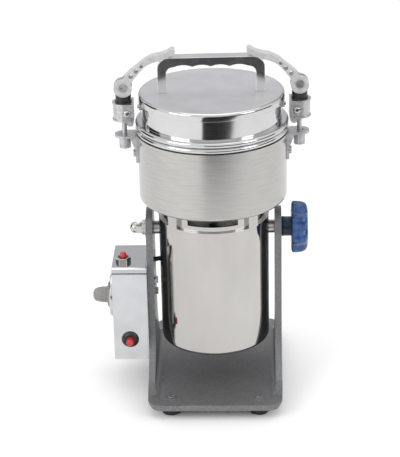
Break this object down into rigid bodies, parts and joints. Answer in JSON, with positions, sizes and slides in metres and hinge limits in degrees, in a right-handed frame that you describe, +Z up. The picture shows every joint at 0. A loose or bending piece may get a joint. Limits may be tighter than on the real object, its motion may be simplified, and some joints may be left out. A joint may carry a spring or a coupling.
{
  "type": "electric grain mill",
  "caption": "Tilting electric grain mill: a lidded milling bowl on an upright motor, held in a cast stand with a side control box, cam clamps and a lock knob.",
  "frame": {"origin": "centre of the bounding box's underside, on the floor under the feet", "axes": "+Z up along the standing head, +X towards the lock knob, -Y is the front; X is the tilting axis's direction"},
  "size_m": [0.2296, 0.2, 0.3763],
  "materials": {
    "hammertone": "grey hammertone paint",
    "polished_steel": "mirror polished stainless steel",
    "satin_steel": "satin stainless steel",
    "cast_metal": "cast and tumbled metal",
    "fastener_steel": "plain steel",
    "blue_plastic": "marbled glossy plastic",
    "grey_plastic": "matte grey plastic",
    "black_plastic": "matte black plastic",
    "red_plastic": "glossy red plastic",
    "black_rubber": "black rubber",
    "pale_rubber": "pale silicone rubber",
    "bronze": "sintered bronze",
    "copper": "enamelled copper",
    "core_iron": "stacked iron sheets"
  },
  "bodies": {
    "stand_body": {"stand": "hammertone", "feet": "black_rubber", "foot_screws": "fastener_steel", "box_screws": "fastener_steel", "pivot_bushes": "bronze", "control_box": "satin_steel", "box_plate": "satin_steel", "cord_bush": "black_rubber", "reset_nut": "polished_steel", "breakers": "black_plastic", "bezel": "black_plastic", "timer_plate": "satin_steel", "timer_body": "cast_metal", "motor_lead": "black_rubber"},
    "reset": {"reset_button": "red_plastic"},
    "front_switch": {"front_button": "red_plastic"},
    "timer": {"timer_knob": "grey_plastic"},
    "head": {"motor_housing": "polished_steel", "bottom_cover": "black_plastic", "end_plate": "cast_metal", "collar": "polished_steel", "bowl_screws": "fastener_steel", "stator": "core_iron", "windings": "copper", "bearings": "fastener_steel", "brush_holders": "black_plastic", "brushes": "black_plastic", "spacers": "fastener_steel", "studs": "fastener_steel", "acorn_nut": "polished_steel", "pivot_washers": "fastener_steel", "bowl": "satin_steel", "shaft_seal": "black_rubber", "brackets": "satin_steel", "bracket_screws": "fastener_steel"},
    "lock": {"lock_knob": "blue_plastic"},
    "rotor": {"shaft": "fastener_steel", "rotor_core": "core_iron", "commutator": "copper", "fan": "black_plastic", "blade_spacers": "fastener_steel", "blade_lower": "satin_steel", "blade_upper": "satin_steel", "blade_nut": "fastener_steel"},
    "lid_body": {"lid": "polished_steel", "lid_ears": "polished_steel", "lid_gasket": "pale_rubber", "lid_handle": "polished_steel"},
    "clamp_left": {"block_left": "cast_metal", "rod_left": "fastener_steel", "nut_left": "fastener_steel", "washers_left": "black_plastic", "pin_left": "fastener_steel"},
    "cam_left": {"lever_left": "polished_steel"},
    "clamp_right": {"block_right": "cast_metal", "rod_right": "fastener_steel", "nut_right": "fastener_steel", "washers_right": "black_plastic", "pin_right": "fastener_steel"},
    "cam_right": {"lever_right": "polished_steel"}
  },
  "joints": [
    {"name": "head_tilt", "type": "hinge", "parent": "stand_body", "child": "head", "pos_m": [0.01303, 0, 0.176], "axis": [1, 0, 0], "range_deg": [-90, 90], "deforming": ["motor_lead"]},
    {"name": "lock_turn", "type": "hinge", "parent": "head", "child": "lock", "pos_m": [0.09303, 0, 0.176], "axis": [1, 0, 0], "continuous": true},
    {"name": "timer_turn", "type": "hinge", "parent": "stand_body", "child": "timer", "pos_m": [-0.09897, 0, 0.0975], "axis": [-1, 0, 0], "range_deg": [0, 300]},
    {"name": "reset_press", "type": "slide", "parent": "stand_body", "child": "reset", "axis": [0, 0, -1], "range_m": [0, 0.0025], "stiffness_N_per_m": 300, "springref_m": -0.001},
    {"name": "front_press", "type": "slide", "parent": "stand_body", "child": "front_switch", "axis": [0, 1, 0], "range_m": [0, 0.0025], "stiffness_N_per_m": 300, "springref_m": -0.001},
    {"name": "rotor_spin", "type": "hinge", "parent": "head", "child": "rotor", "pos_m": [0.01303, 0, 0.15], "axis": [0, 0, 1], "continuous": true},
    {"name": "lid_lift", "type": "slide", "parent": "head", "child": "lid_body", "axis": [0, 0, 1], "range_m": [0, 0.1]},
    {"name": "clamp_left_swing", "type": "hinge", "parent": "head", "child": "clamp_left", "pos_m": [-0.07692, -0.00314, 0.2725], "axis": [0.0349, -0.9994, 0], "range_deg": [0, 15]},
    {"name": "clamp_right_swing", "type": "hinge", "parent": "head", "child": "clamp_right", "pos_m": [0.10297, 0.00314, 0.2725], "axis": [-0.0349, 0.9994, 0], "range_deg": [0, 15]},
    {"name": "lever_left_open", "type": "hinge", "parent": "clamp_left", "child": "cam_left", "pos_m": [-0.07692, -0.00314, 0.3344], "axis": [0.0349, -0.9994, 0], "range_deg": [0, 150]},
    {"name": "lever_right_open", "type": "hinge", "parent": "clamp_right", "child": "cam_right", "pos_m": [0.10297, 0.00314, 0.3344], "axis": [-0.0349, 0.9994, 0], "range_deg": [0, 150]}
  ],
  "couplings": [
    {"joint": "lever_left_open", "follows": "lid_lift", "rad_per_m": 26.163},
    {"joint": "lever_right_open", "follows": "lid_lift", "rad_per_m": 26.163}
  ]
}
